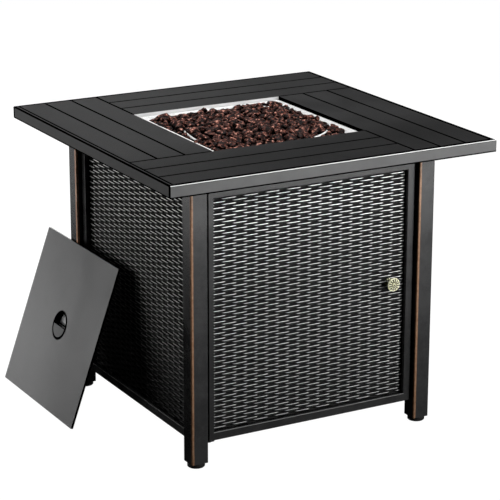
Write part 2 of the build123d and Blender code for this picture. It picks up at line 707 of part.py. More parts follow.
# ---------------------------------------------------------------- lid, leaning on the back left post
th = radians(LEAN)
lid_up = Vector(sin(th), 0, cos(th))
lid_n = Vector(-cos(th), 0, sin(th))
lid_mid = Vector(LID_X, LID_Y0 + LID / 2, LID_T * sin(th)) + lid_up * (LID / 2)
lid_plane = Plane(lid_mid, x_dir=(0, -1, 0), z_dir=lid_n)
PULL_R = 32.0
with BuildPart() as lid_plate:
    with BuildSketch(lid_plane):
        RectangleRounded(LID, LID, 2.0)
    extrude(amount=-LID_T)
    with BuildSketch(lid_plane.offset(-1.2)):
        RectangleRounded(LID - 2.4, LID - 2.4, 1.0)
    extrude(amount=-LID_T, mode=Mode.SUBTRACT)
    with BuildSketch(lid_plane):
        Circle(PULL_R - 2.5)
    extrude(amount=-LID_T, mode=Mode.SUBTRACT)
save(lid_plate, "lid_plate")

with BuildPart() as lid_pull:
    with BuildSketch(lid_plane):
        Circle(PULL_R)
    extrude(amount=0.8)
    with BuildSketch(lid_plane):
        Circle(PULL_R - 2.5)
    extrude(amount=-14)
    with BuildSketch(lid_plane.offset(-12.8)):
        Circle(PULL_R - 3.7)
    extrude(amount=12.4, mode=Mode.SUBTRACT)
    with BuildSketch(lid_plane.offset(-0.5)):
        Circle(PULL_R - 3.7)
        with Locations((0, -20)):
            Rectangle(80, 40, mode=Mode.SUBTRACT)
    extrude(amount=2, mode=Mode.SUBTRACT)
save(lid_pull, "lid_pull")
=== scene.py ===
import bpy, bmesh, math, random
import numpy as np
from mathutils import Vector, Matrix, noise


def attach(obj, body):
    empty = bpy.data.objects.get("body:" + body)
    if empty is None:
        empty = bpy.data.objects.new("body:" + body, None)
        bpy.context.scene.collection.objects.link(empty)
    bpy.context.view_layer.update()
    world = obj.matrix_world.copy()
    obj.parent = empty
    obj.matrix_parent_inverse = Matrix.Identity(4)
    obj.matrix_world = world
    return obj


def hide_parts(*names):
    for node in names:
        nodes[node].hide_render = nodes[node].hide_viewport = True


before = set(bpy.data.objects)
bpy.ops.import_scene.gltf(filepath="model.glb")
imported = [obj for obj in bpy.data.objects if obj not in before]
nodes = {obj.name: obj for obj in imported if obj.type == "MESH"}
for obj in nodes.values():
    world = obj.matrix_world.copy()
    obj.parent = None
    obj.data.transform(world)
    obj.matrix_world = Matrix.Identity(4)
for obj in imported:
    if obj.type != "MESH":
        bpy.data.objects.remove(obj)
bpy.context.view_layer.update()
scene = bpy.context.scene
scene.view_settings.view_transform = "Standard"
MM = 0.001


# ------------------------------------------------------------------ node helpers
class Mat:
    """A node material with a few shorthands. Every value is in object space, metres."""

    def __init__(self, name):
        self.m = bpy.data.materials.new(name)
        self.m.use_nodes = True
        self.nt = self.m.node_tree
        self.b = self.nt.nodes["Principled BSDF"]
        self.coord = self.nt.nodes.new("ShaderNodeTexCoord").outputs["Object"]

    def set(self, **kw):
        for k, v in kw.items():
            self.b.inputs[k.replace("_", " ")].default_value = v
        return self

    def link(self, a, b):
        self.nt.links.new(a, b)

    def to(self, out, socket):
        self.link(out, self.b.inputs[socket])

    def noise(self, scale, detail=4.0, rough=0.55, vec=None, stretch=None):
        n = self.nt.nodes.new("ShaderNodeTexNoise")
        n.inputs["Scale"].default_value = scale
        n.inputs["Detail"].default_value = detail
        n.inputs["Roughness"].default_value = rough
        v = vec or self.coord
        if stretch:
            mp = self.nt.nodes.new("ShaderNodeMapping")
            mp.inputs["Scale"].default_value = stretch
            self.link(v, mp.inputs["Vector"])
            v = mp.outputs["Vector"]
        self.link(v, n.inputs["Vector"])
        return n.outputs["Fac"]

    def voronoi(self, scale, feature="F1", out="Distance"):
        n = self.nt.nodes.new("ShaderNodeTexVoronoi")
        n.feature = feature
        n.inputs["Scale"].default_value = scale
        self.link(self.coord, n.inputs["Vector"])
        return n.outputs[out]

    def ramp(self, fac, stops):
        r = self.nt.nodes.new("ShaderNodeValToRGB")
        e = r.color_ramp.elements
        while len(e) < len(stops):
            e.new(0.5)
        for el, (p, c) in zip(e, stops):
            el.position = p
            el.color = (c, c, c, 1) if isinstance(c, (int, float)) else (*c, 1)
        self.link(fac, r.inputs["Fac"])
        return r.outputs["Color"]

    def math(self, op, a, b=None, c=None, clamp=False):
        n = self.nt.nodes.new("ShaderNodeMath")
        n.operation = op
        n.use_clamp = clamp
        for i, v in enumerate((a, b, c)):
            if v is None:
                continue
            if isinstance(v, (int, float)):
                n.inputs[i].default_value = v
            else:
                self.link(v, n.inputs[i])
        return n.outputs[0]

    def axis(self, which):
        s = self.nt.nodes.new("ShaderNodeSeparateXYZ")
        self.link(self.coord, s.inputs[0])
        return s.outputs[which]

    def range(self, v, a, b, lo=0.0, hi=1.0):
        n = self.nt.nodes.new("ShaderNodeMapRange")
        n.interpolation_type = "SMOOTHSTEP"
        for i, x in enumerate((v, a, b, lo, hi)):
            if isinstance(x, (int, float)):
                n.inputs[i].default_value = x
            else:
                self.link(x, n.inputs[i])
        return n.outputs[0]

    def mix(self, fac, a, b):
        n = self.nt.nodes.new("ShaderNodeMix")
        n.data_type = "RGBA"
        for i, v in ((0, fac), (6, a), (7, b)):
            if isinstance(v, (int, float)):
                n.inputs[i].default_value = v
            elif isinstance(v, tuple):
                n.inputs[i].default_value = (*v, 1)
            else:
                self.link(v, n.inputs[i])
        return n.outputs[2]

    def bump(self, height, strength=0.3, dist=0.001, prev=None):
        n = self.nt.nodes.new("ShaderNodeBump")
        n.inputs["Strength"].default_value = strength
        n.inputs["Distance"].default_value = dist
        self.link(height, n.inputs["Height"])
        if prev is not None:
            self.link(prev, n.inputs["Normal"])
        self.to(n.outputs["Normal"], "Normal")
        return n.outputs["Normal"]


def coat(name, base, rough=0.45, spec=0.3, grain=0.25, vary=0.18, grain_scale=1400.0):
    """Powder coat: fine pebbled grain, faint blotchy variation and a soft sheen."""
    m = Mat(name)
    m.set(Metallic=0.0, Specular_IOR_Level=spec)
    blotch = m.noise(9.0, 5.0, 0.6)
    lo = tuple(c * (1 - vary) for c in base)
    hi = tuple(c * (1 + vary) for c in base)
    m.to(m.ramp(blotch, [(0.35, lo), (0.65, hi)]), "Base Color")
    fine = m.noise(grain_scale, 2.0, 0.5)
    m.to(m.range(m.math("ADD", m.math("MULTIPLY", fine, 0.4), m.math("MULTIPLY", blotch, 0.6)), 0.3, 0.7, rough - 0.05, rough + 0.07), "Roughness")
    m.bump(fine, grain, 0.0004)
    return m


def ink(m, mask):
    """Dead black where mask is 1: no diffuse colour and no sheen."""
    base = m.b.inputs["Base Color"].links[0].from_socket
    m.to(m.mix(mask, base, (0.0, 0.0, 0.0)), "Base Color")
    had = m.b.inputs["Metallic"].links
    m.to(m.math("MAXIMUM", had[0].from_socket, mask) if had else m.math("MULTIPLY", mask, 1.0), "Metallic")
    return m


def paint_gap_shade(m, dist, lo=0.35, hi=0.85):
    """Painted shade: ink the coat towards black in narrow clefts and inside corners, found by ambient occlusion."""
    n = m.nt.nodes.new("ShaderNodeAmbientOcclusion")
    n.samples = 8
    n.inputs["Distance"].default_value = dist
    return ink(m, m.range(n.outputs["AO"], hi, lo))


def give(mat, *names):
    for n in names:
        o = nodes[n] if isinstance(n, str) else n
        o.data.materials.clear()
        o.data.materials.append(mat.m)


def new_mesh(name, verts, faces, body, mat, smooth=True, replaces=()):
    me = bpy.data.meshes.new(name)
    me.from_pydata([tuple(v) for v in verts], [], [tuple(f) for f in faces])
    me.validate()
    o = bpy.data.objects.new(name, me)
    scene.collection.objects.link(o)
    if smooth:
        me.polygons.foreach_set("use_smooth", [True] * len(me.polygons))
    me.materials.append(mat.m)
    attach(o, body)
    if replaces:
        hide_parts(*replaces)
    return o


# ------------------------------------------------------------------ camera
C = Vector((-2.132407, -3.824144, 1.704831))
az, el, ro = math.radians(-29.224), math.radians(17.158), math.radians(0.122)
back = Vector((math.sin(az) * math.cos(el), -math.cos(az) * math.cos(el), math.sin(el)))
right = Vector((math.cos(az), math.sin(az), 0.0))
up = back.cross(right)
xc = right * math.cos(ro) + up * math.sin(ro)
yc = up * math.cos(ro) - right * math.sin(ro)
cam = bpy.data.cameras.new("camera")
cam.lens, cam.sensor_width, cam.sensor_fit = 150.82, 36.0, "HORIZONTAL"
cam.clip_end = 100.0
cam_o = bpy.data.objects.new("camera", cam)
rot = Matrix((xc, yc, back)).transposed().to_4x4()
cam_o.matrix_world = Matrix.Translation(C) @ rot
scene.collection.objects.link(cam_o)
scene.camera = cam_o


# ------------------------------------------------------------------ stage
def area(name, loc, target, size, power, size_y=None, color=(1, 1, 1)):
    l = bpy.data.lights.new(name, "AREA")
    l.shape = "RECTANGLE"
    l.size, l.size_y = size, size_y or size
    l.energy = power
    l.color = color
    o = bpy.data.objects.new(name, l)
    o.location = loc
    d = Vector(target) - Vector(loc)
    o.rotation_euler = d.to_track_quat("-Z", "Y").to_euler()
    o.visible_camera = False
    scene.collection.objects.link(o)
    return o


world = bpy.data.worlds.new("studio")
scene.world = world
world.use_nodes = True
wt = world.node_tree
w_dir = wt.nodes.new("ShaderNodeTexCoord")
w_sep = wt.nodes.new("ShaderNodeSeparateXYZ")
w_map = wt.nodes.new("ShaderNodeMapRange")
w_map.interpolation_type = "SMOOTHSTEP"
for i, v in ((1, 0.25), (2, 0.85), (3, 0.01), (4, 0.04)):
    w_map.inputs[i].default_value = v
wt.links.new(w_dir.outputs["Generated"], w_sep.inputs[0])
wt.links.new(w_sep.outputs[2], w_map.inputs[0])
wt.links.new(w_map.outputs[0], wt.nodes["Background"].inputs[1])
wt.nodes["Background"].inputs[0].default_value = (1, 1, 1, 1)
area("near_strip", (0.10, -1.15, 1.10), (0.0, -0.33, 0.55), 1.5, 5.8, 0.12)
area("front_card", (1.9, -3.1, 0.02), (1.9, -3.1, 1.0), 2.4, 358, 1.2)
area("right_front", (2.2, -2.2, 1.0), (0.0, -0.3, 0.5), 0.8, 24, 0.8)
area("glint", (1.75, -2.95, 1.80), (0.0, -0.28, 0.35), 0.7, 24, 0.7)
area("front_low", (0.0, -2.6, 0.35), (0.0, -0.28, 0.35), 1.0, 3.4, 0.5)
area("top", (0.2, 0.3, 3.2), (0, 0, 0.6), 2.4, 87)
area("back_left", (0.45, 2.0, 1.30), (-0.3, 0.0, 0.64), 0.8, 1.25, 0.4)
area("left_card", (-1.25, 1.45, 0.30), (-0.38, 0.25, 0.10), 0.8, 4.8, 0.8)
area("left_low", (-1.6, 0.9, 0.12), (-0.38, 0.25, 0.10), 0.5, 4.3, 0.2)

area("back_fill", (0.5, 2.9, 0.42), (0.0, 0.28, 0.34), 2.0, 22, 0.8)
area("right_fill", (2.9, 0.5, 0.42), (0.28, 0.0, 0.34), 2.0, 22, 0.8)

floor_m = Mat("floor_pale")
floor_m.set(Roughness=0.9, Specular_IOR_Level=0.1)
fg = floor_m.noise(2.0, 3.0)
floor_m.to(floor_m.ramp(fg, [(0.3, (0.028, 0.028, 0.028)), (0.7, (0.032, 0.032, 0.032))]), "Base Color")
floor_m.set(Emission_Color=(1, 1, 1, 1), Emission_Strength=1.0)
me = bpy.data.meshes.new("floor")
me.from_pydata([(-30, -30, 0), (30, -30, 0), (30, 30, 0), (-30, 30, 0)], [], [(0, 1, 2, 3)])
me.materials.append(floor_m.m)
floor = bpy.data.objects.new("floor", me)
floor.location.z = -0.0008
scene.collection.objects.link(floor)
floor.visible_diffuse = floor.visible_glossy = False
ring_n = 96
verts = [(29.0 * math.cos(2 * math.pi * i / ring_n), 29.0 * math.sin(2 * math.pi * i / ring_n), z)
         for z in (-0.001, 30.0) for i in range(ring_n)]
me = bpy.data.meshes.new("backdrop")
me.from_pydata(verts, [], [(i, (i + 1) % ring_n, ring_n + (i + 1) % ring_n, ring_n + i) for i in range(ring_n)])
me.materials.append(floor_m.m)
backdrop = bpy.data.objects.new("backdrop", me)
scene.collection.objects.link(backdrop)
backdrop.visible_diffuse = backdrop.visible_glossy = backdrop.visible_shadow = False

# ------------------------------------------------------------------ materials
black = coat("powder_black", (0.038, 0.038, 0.0385), 0.26, 0.20, 0.15)
inner = coat("inner_black", (0.020, 0.020, 0.020), 0.5, 0.2)

# tabletop: dark boards with black lines between them as painted shade, and the folded rim painted lighter as painted
# light
topcoat = coat("top_coat", (0.0305, 0.0305, 0.0308), 0.55, 0.12, 0.3)
topcoat.b.inputs["Specular Tint"].default_value = (0.0, 0.0, 0.0, 1.0)
tx, ty, tz = (topcoat.axis(i) for i in range(3))
atx, aty = topcoat.math("ABSOLUTE", tx), topcoat.math("ABSOLUTE", ty)
out = topcoat.math("MAXIMUM", atx, aty)
low = topcoat.range(tz, 0.6398, 0.6393)
face = topcoat.range(out, 0.3796, 0.3806)
base = topcoat.b.inputs["Base Color"].links[0].from_socket
# painted light: the outer faces of the folded rim get a lighter grey than the top of the same sheet
grey = topcoat.ramp(topcoat.noise(9.0, 5.0, 0.6), [(0.35, (0.113, 0.113, 0.1135)), (0.65, (0.136, 0.136, 0.1365))])
# painted shade: the top painted darker towards its front edge
base = topcoat.mix(topcoat.range(ty, -0.04, -0.27, 0.0, 0.48), base, (0.004, 0.004, 0.004))
base = topcoat.mix(face, base, grey)
# painted highlight: a near-white line along the rounded front top edge of the rim
turn = topcoat.math("MULTIPLY", topcoat.range(out, 0.3793, 0.3797), topcoat.range(tz, 0.6379, 0.6385))
front = topcoat.range(ty, -0.3780, -0.3784)
base = topcoat.mix(topcoat.math("MULTIPLY", turn, front), base, (0.66, 0.66, 0.66))
# painted highlight: the back side of the burner opening, below the top face, painted light grey
back_wall = topcoat.math("MULTIPLY", topcoat.math("MULTIPLY", topcoat.range(ty, 0.1826, 0.1829), topcoat.range(ty, 0.1838, 0.1834)),
                         topcoat.math("MULTIPLY", topcoat.range(atx, 0.1832, 0.1828), low))
base = topcoat.mix(back_wall, base, (0.75, 0.75, 0.75))
topcoat.to(base, "Base Color")
# painted shade: everything below the top face inside the rim, the pressed grooves and the sides of the opening, inked
# black, except the back side of the opening
line = topcoat.math("MULTIPLY", topcoat.math("MULTIPLY", topcoat.range(out, 0.3738, 0.3732), low), topcoat.math("SUBTRACT", 1.0, back_wall))


def near(a, g):
    return topcoat.range(topcoat.math("ABSOLUTE", topcoat.math("SUBTRACT", a, g)), 0.0033, 0.0025)


# painted shade beside the pressed lines, widening them: a is the distance outwards from the middle, b runs along the
# board
flat = topcoat.range(out, 0.3742, 0.3738)
ntx, nty = topcoat.math("MULTIPLY", tx, -1.0), topcoat.math("MULTIPLY", ty, -1.0)
for a_, b_ in ((nty, tx), (tx, ty), (ty, ntx), (ntx, nty)):
    two = topcoat.math("MULTIPLY", topcoat.math("MAXIMUM", near(a_, 0.246), near(a_, 0.309)), topcoat.range(b_, 0.1855, 0.1850))
    one = topcoat.math("MULTIPLY", near(a_, 0.183), topcoat.range(b_, -0.1825, -0.1835))
    line = topcoat.math("MAXIMUM", line, topcoat.math("MULTIPLY", topcoat.math("MAXIMUM", one, two), flat))
# painted shade: a black band along the rim's top edge, left open on the painted front highlight and on a thin strip
# along the left side
shade = topcoat.math("MULTIPLY", topcoat.range(out, 0.3688, 0.3696), topcoat.range(tz, 0.6371, 0.6376))
left = topcoat.range(tx, -0.3660, -0.3670)
bright = topcoat.math("MAXIMUM", topcoat.math("MULTIPLY", turn, front),
                      topcoat.math("MULTIPLY", left, topcoat.math("MULTIPLY", topcoat.range(out, 0.3738, 0.3742), topcoat.range(out, 0.3776, 0.3772))))
lip = topcoat.math("MULTIPLY", shade, topcoat.math("SUBTRACT", 1.0, bright))
# painted shade: a black line along the lower edge of the rim's outer faces
under = topcoat.math("MULTIPLY", face, topcoat.range(tz, 0.6172, 0.6164))
seam = topcoat.math("MULTIPLY", topcoat.range(atx, 0.3798, 0.3804), topcoat.range(aty, 0.3736, 0.3744))
ink(topcoat, topcoat.math("MAXIMUM", topcoat.math("MAXIMUM", line, lip), topcoat.math("MAXIMUM", under, seam)))

# lid: painted shade gives the finger recess a black outline, a black chord and a black step, and painted light gives
# its floor a light grey
def lid_coat(name):
    m = coat(name, (0.090, 0.090, 0.091), 0.42, 0.4)
    # painted light: the lid coat lighter towards its back and its bottom
    painted_light_tone = m.math("ADD", m.math("MULTIPLY", m.axis(1), 1.0), m.math("MULTIPLY", m.axis(2), -0.7))
    base = m.b.inputs["Base Color"].links[0].from_socket
    base = m.mix(m.range(painted_light_tone, -0.15, 0.40, 0.0, 0.14), base, (0.9, 0.9, 0.9))
    # painted shade: the lid coat darker towards its front end
    m.to(m.mix(m.range(m.axis(1), 0.29, 0.05, 0.0, 0.60), base, (0.004, 0.004, 0.004)), "Base Color")
    return ink(m, m.range(m.axis(1), 0.0338, 0.0334))


def about_pull(m):
    """Distances from the middle of the finger cup: across, up the lid, out of the lid, and radius."""
    px, py, pz = (m.axis(i) for i in range(3))
    qx, qz = m.math("ADD", px, 0.35631), m.math("SUBTRACT", pz, 0.17342)
    u = m.math("SUBTRACT", py, 0.2150)
    v = m.math("ADD", m.math("MULTIPLY", qx, 0.33183), m.math("MULTIPLY", qz, 0.94335))
    w = m.math("ADD", m.math("MULTIPLY", qx, -0.94335), m.math("MULTIPLY", qz, 0.33183))
    return u, v, w, m.math("SQRT", m.math("ADD", m.math("MULTIPLY", u, u), m.math("MULTIPLY", v, v)))


lidcoat = lid_coat("lid_coat")
# painted shade: a black ring on the lid round the finger pull
ink(lidcoat, lidcoat.range(about_pull(lidcoat)[3], 0.0340, 0.0332))
pull_m = lid_coat("lid_pull_coat")
pu, pv, pw, pr = about_pull(pull_m)
pull_m.b.inputs["Specular Tint"].default_value = (0.0, 0.0, 0.0, 1.0)
# painted shade: black outline ring, chord and step of the finger recess; painted light: the recess floor lightened to
# light grey
ring = pull_m.range(pr, 0.0268, 0.0274)
chord = pull_m.range(pull_m.math("ABSOLUTE", pull_m.math("ADD", pv, 0.0006)), 0.0020, 0.0014)
recess_wall_shade = pull_m.math("MULTIPLY", pull_m.range(pw, -0.0026, -0.0020), pull_m.range(pw, 0.0002, -0.0002))
recess_floor_light = pull_m.range(pw, -0.0020, -0.0026)
base = pull_m.b.inputs["Base Color"].links[0].from_socket
base = pull_m.mix(recess_floor_light, base, (0.80, 0.80, 0.80))
pull_painted_shade = pull_m.math("MAXIMUM", pull_m.math("MAXIMUM", ring, chord), recess_wall_shade)
pull_m.to(base, "Base Color")
ink(pull_m, pull_painted_shade)

# posts: the same coat, rubbed through to bronze along one upright corner
post_m = coat("post_coat", (0.038, 0.038, 0.0385), 0.26, 0.20, 0.15)
sides = []
for i in (0, 1):
    v = post_m.axis(i)
    sides.append(post_m.math("SUBTRACT", post_m.math("MULTIPLY", post_m.math("SIGN", v), 0.2716), v))
edge = post_m.math("MINIMUM", *sides)
wob = post_m.noise(60.0, 4.0, 0.6, stretch=(1, 1, 0.35))
edge = post_m.math("ADD", edge, post_m.math("MULTIPLY", post_m.math("SUBTRACT", wob, 0.5), 0.0012))
mask = post_m.range(edge, 0.0130, 0.0146)
old = post_m.b.inputs["Base Color"].links[0].from_socket
tone = post_m.ramp(post_m.noise(180.0, 3.0), [(0.3, (0.23, 0.120, 0.066)), (0.7, (0.37, 0.215, 0.130))])
# painted shade: the front posts' left faces inked darker, more strongly towards the top
left_face_shade = post_m.math("MULTIPLY", post_m.range(sides[0], 0.0184, 0.0188), post_m.math("MULTIPLY", post_m.range(post_m.axis(1), 0.1, -0.1), post_m.range(post_m.axis(2), 0.25, 0.58, 0.56, 0.90)))
post_m.to(post_m.mix(mask, old, tone), "Base Color")
ink(post_m, left_face_shade)
# painted shade: the post coat inked towards black in clefts and inside corners
paint_gap_shade(post_m, 0.012)
# the back posts: painted shade makes their left faces darker and dark metallic, and a painted highlight makes the
# bronze along their front corner a brighter bronze than on the front posts
old = post_m.b.inputs["Base Color"].links[0].from_socket
far = post_m.math("MULTIPLY", post_m.range(sides[0], 0.0182, 0.0187), post_m.range(post_m.axis(1), 0.1, 0.2))
painted_bronze_highlight = post_m.math("MULTIPLY", far, post_m.range(post_m.math("ADD", sides[1], post_m.math("MULTIPLY", post_m.math("SUBTRACT", wob, 0.5), 0.0012)), 0.0112, 0.0128))
painted_light_tone = post_m.ramp(post_m.noise(180.0, 3.0), [(0.3, (0.58, 0.270, 0.140)), (0.7, (0.80, 0.440, 0.260))])
post_m.to(post_m.mix(painted_bronze_highlight, post_m.mix(post_m.math("MULTIPLY", far, 0.66), old, (0.004, 0.004, 0.004)), painted_light_tone), "Base Color")
hard = post_m.math("MAXIMUM", post_m.b.inputs["Metallic"].links[0].from_socket, post_m.math("MULTIPLY", far, 0.85))
post_m.to(post_m.math("MULTIPLY", hard, post_m.math("SUBTRACT", 1.0, painted_bronze_highlight)), "Metallic")
# painted shade: the frame coat inked towards black in clefts and inside corners
paint_gap_shade(black, 0.012)


def paint_sill_highlight(m, z, along, across):
    """Painted highlight: a light grey line on the lower inner edge of a frame."""
    mask = m.math("MULTIPLY", m.range(m.axis(2), z - 0.0010, z - 0.0007), m.range(m.axis(2), z + 0.0008, z + 0.0005))
    mask = m.math("MULTIPLY", mask, m.range(m.math("ABSOLUTE", m.axis(along)), 0.2334, 0.2328))
    mask = m.math("MULTIPLY", mask, m.range(m.math("ABSOLUTE", m.axis(across)), 0.2764, 0.2768))
    base = m.b.inputs["Base Color"].links[0].from_socket
    m.to(m.mix(mask, base, (0.30, 0.30, 0.30)), "Base Color")
    bare = m.math("SUBTRACT", 1.0, mask)
    m.to(m.math("MULTIPLY", m.b.inputs["Metallic"].links[0].from_socket, bare), "Metallic")


paint_sill_highlight(black, 0.070, 1, 0)
paint_sill_highlight(black, 0.070, 0, 1)
# painted shade: the door coat inked towards black in clefts and inside corners, and in a strip along its hinge-side
# edge beside the post
door_m = paint_gap_shade(coat("door_coat", (0.034, 0.034, 0.0345), 0.26, 0.18, 0.15), 0.012)
ink(door_m, door_m.range(door_m.axis(0), -0.2434, -0.2440))
paint_sill_highlight(door_m, 0.068, 0, 1)

stainless = Mat("brushed_stainless")
stainless.set(Metallic=0.10, Specular_IOR_Level=0.5)
br = stainless.noise(35.0, 3.0, 0.5, stretch=(1.0, 30.0, 30.0))
stainless.to(stainless.ramp(br, [(0.3, (0.93, 0.93, 0.92)), (0.7, (0.985, 0.985, 0.98))]), "Base Color")
stainless.to(stainless.range(br, 0.3, 0.7, 0.22, 0.36), "Roughness")
stainless.bump(br, 0.08, 0.0004)


def metal(name, a, b, rough=0.3, scale=120.0):
    m = Mat(name)
    m.set(Metallic=1.0)
    n = m.noise(scale, 4.0)
    m.to(m.ramp(n, [(0.3, a), (0.7, b)]), "Base Color")
    m.to(m.range(n, 0.3, 0.7, rough - 0.06, rough + 0.08), "Roughness")
    m.bump(m.noise(scale * 6, 2.0), 0.12, 0.0003)
    return m


def plastic(name, base, rough=0.5):
    m = Mat(name)
    m.set(Specular_IOR_Level=0.35)
    n = m.noise(40.0, 4.0)
    m.to(m.ramp(n, [(0.3, tuple(c * 0.8 for c in base)), (0.7, tuple(c * 1.25 for c in base))]), "Base Color")
    m.to(m.range(n, 0.3, 0.7, rough - 0.05, rough + 0.06), "Roughness")
    m.bump(m.noise(1800.0, 2.0), 0.2, 0.0003)
    return m


brass = metal("turned_brass", (0.50, 0.36, 0.14), (0.72, 0.55, 0.25))
zinc = metal("zinc_steel", (0.42, 0.42, 0.41), (0.62, 0.62, 0.60), 0.35)
alloy = metal("plain_alloy", (0.55, 0.55, 0.56), (0.72, 0.72, 0.72), 0.35)
foot_p = plastic("foot_plastic", (0.012, 0.012, 0.012), 0.6)
knob_p = plastic("knob_plastic", (0.02, 0.02, 0.02), 0.4)
wire_p = plastic("wire_jacket", (0.03, 0.03, 0.03), 0.5)
porcelain = plastic("porcelain", (0.72, 0.70, 0.64), 0.25)

# ------------------------------------------------------------------ CAD nodes that keep their shape
give(post_m, "post_front_left", "post_front_right", "post_back_left", "post_back_right")
give(black, "panel_left_frame", "panel_right_frame", "panel_back_frame", "rail_front_top",
     "rail_back_top", "rail_left_top", "rail_right_top", "pivot_bracket")
give(door_m, "door_frame")
give(inner, "under_top_frame", "base_plate", "magnet_catch")
give(coat("panel_grey", (0.16, 0.16, 0.16), 0.42, 0.4), "control_panel")
give(topcoat, "tabletop")
give(lidcoat, "lid_plate")
give(pull_m, "lid_pull")
give(stainless, "burner_bowl", "burner_ring")
give(brass, "valve_body", "valve_nut", "valve_stem", "stem_collar", "inlet_fitting", "inlet_elbow", "burner_nut",
     "thermocouple", "thermocouple_lead", "door_knob", "door_knob_base")
give(zinc, "foot_nuts", "pivot_pin_top", "pivot_pin_bottom", "door_knob_screw", "door_strike", "panel_screws",
     "base_screws", "tabletop_bolts", "control_screws")
give(alloy, "gas_tube", "air_mixer")
give(foot_p, "foot_front_left", "foot_front_right", "foot_back_left", "foot_back_right", "door_bushes")
give(knob_p, "control_knob", "igniter_body", "igniter_nut", "igniter_button")
give(wire_p, "igniter_wire")
give(porcelain, "electrode")
give(inner, "panel_left_weave", "panel_right_weave", "panel_back_weave", "door_weave")
give(inner, "lava_rock")

# ------------------------------------------------------------------ woven sheets
PITCH, HALF_P = 6.05 * MM, 25.15 * MM
V_CUTS = (0.0, 0.08, 0.26, 0.50, 0.74, 0.92)


def paint_strand_light(name, axis, u_mid, z_ref, low=0.62, high=0.62, ground=0.010, sheen=0.20):
    """Dark coat with a painted highlight along the upper side of every strand and a painted shadow under it, in step
    with the pressed pattern.
    """
    m = coat(name, (ground, ground, ground * 1.01), 0.32, sheen, 0.08)
    q = m.math("DIVIDE", m.math("SUBTRACT", m.axis(2), z_ref), PITCH)
    r = m.math("FLOOR", m.math("ADD", q, 0.5))
    v = m.math("SUBTRACT", m.math("SUBTRACT", q, r), 0.12)
    ph = m.math("MULTIPLY", m.math("SUBTRACT", m.axis(axis), u_mid), math.pi / HALF_P)
    c = m.math("COSINE", m.math("ADD", ph, m.math("MULTIPLY", r, math.pi)))
    dash = m.range(c, -0.84, -0.02)
    half = m.math("ADD", m.math("MULTIPLY", dash, m.range(m.axis(2), 0.36, 0.56, 0.060, 0.094)), -0.012)
    band = m.range(m.math("SUBTRACT", m.math("ABSOLUTE", v), half), 0.08, -0.04)
    uneven = m.range(m.noise(160.0, 4.0, 0.6), 0.3, 0.7, 0.60, 1.0)
    mask = m.math("MULTIPLY", m.math("MULTIPLY", dash, band), uneven)
    base = m.b.inputs["Base Color"].links[0].from_socket
    # painted highlight: the crest colour runs from low at the bottom to high at the top of the sheet; painted shadow:
    # a near-black band under each crest
    crest_painted_light = m.ramp(m.range(m.axis(2), 0.07, 0.57), [(0.0, low), (1.0, high)])
    strand_painted_shadow = m.math("MULTIPLY", dash, m.range(m.math("ABSOLUTE", m.math("ADD", v, 0.36)), 0.20, 0.10))
    base = m.mix(strand_painted_shadow, base, (0.0015, 0.0015, 0.0015))
    m.to(m.mix(mask, base, crest_painted_light), "Base Color")
    m.to(m.math("MULTIPLY", mask, 0.55), "Metallic")
    return m


def weave(name, node, body, place, width, z0, z1, seed, u_ref, z_ref, mat):
    """Pressed weave: each row of strands stands out over every second upright, half a step off from row to row."""
    rng = np.random.default_rng(seed)
    first = int(math.floor((z0 - z_ref) / PITCH + 0.5))
    last = int(math.ceil((z1 - z_ref) / PITCH - 0.5))
    nu = int(round(width / (HALF_P / 8))) + 1
    u = np.linspace(0.0, width, nu)
    phase = math.pi * (u - u_ref) / HALF_P
    marks = np.arange(0, width + HALF_P, HALF_P)
    zs, ws = [], []
    for r in range(first, last + 1):
        c = np.cos(phase + math.pi * r)
        lo = z_ref + (r - 0.5) * PITCH - 0.16 * PITCH * c
        hi = z_ref + (r + 0.5) * PITCH + 0.16 * PITCH * c
        t = np.clip((c + 0.78) / 0.62, 0, 1)
        s = t * t * (3 - 2 * t)
        jit = np.interp(u, marks, rng.normal(1.0, 0.05, len(marks)))
        for v in V_CUTS:
            sec = max(0.0, 1 - (2 * v - 1) ** 2) ** 0.6
            zs.append(np.clip(lo + (hi - lo) * v, z0, z1))
            ws.append(-0.9 * MM + sec * (0.9 + 3.4 * s * jit) * MM)
    zs.append(np.full(nu, z1))
    ws.append(np.full(nu, -0.9 * MM))
    zs, ws = np.array(zs), np.array(ws)
    keep = [0] + [i for i in range(1, len(zs)) if zs[i].max() - zs[i - 1].max() > 1e-7 or zs[i].min() - zs[i - 1].min() > 1e-7]
    zs, ws = zs[keep], ws[keep]
    nz = len(zs)
    ws[:, 0] = ws[:, -1] = -0.9 * MM
    ws[0] = ws[-1] = -0.9 * MM
    uu = np.broadcast_to(u, zs.shape)
    front = place(uu.ravel(), zs.ravel(), ws.ravel())
    idx = np.arange(nz * nu).reshape(nz, nu)
    quads = np.stack([idx[:-1, :-1], idx[:-1, 1:], idx[1:, 1:], idx[1:, :-1]], -1).reshape(-1, 4)
    # back: one plane, joined to the front all round
    n0 = nz * nu
    ring = np.concatenate([idx[0, :], idx[1:, -1], idx[-1, -2::-1], idx[-2:0:-1, 0]])
    bu, bz = uu.ravel()[ring], zs.ravel()[ring]
    back = place(bu, bz, np.full(len(ring), -1.4 * MM))
    m = len(ring)
    b = n0 + np.arange(m)
    sides = [(ring[i], b[i], b[(i + 1) % m], ring[(i + 1) % m]) for i in range(m)]
    faces = [tuple(q) for q in quads] + [tuple(int(k) for k in q) for q in sides] + [tuple(int(k) for k in b[::-1])]
    o = new_mesh(name, np.vstack([front, back]), faces, body, mat, True, (node,))
    bm = bmesh.new()
    bm.from_mesh(o.data)
    bmesh.ops.recalc_face_normals(bm, faces=bm.faces)
    for f in bm.faces:
        if len(f.verts) > 4:
            f.smooth = False
    bm.to_mesh(o.data)
    bm.free()
    return o


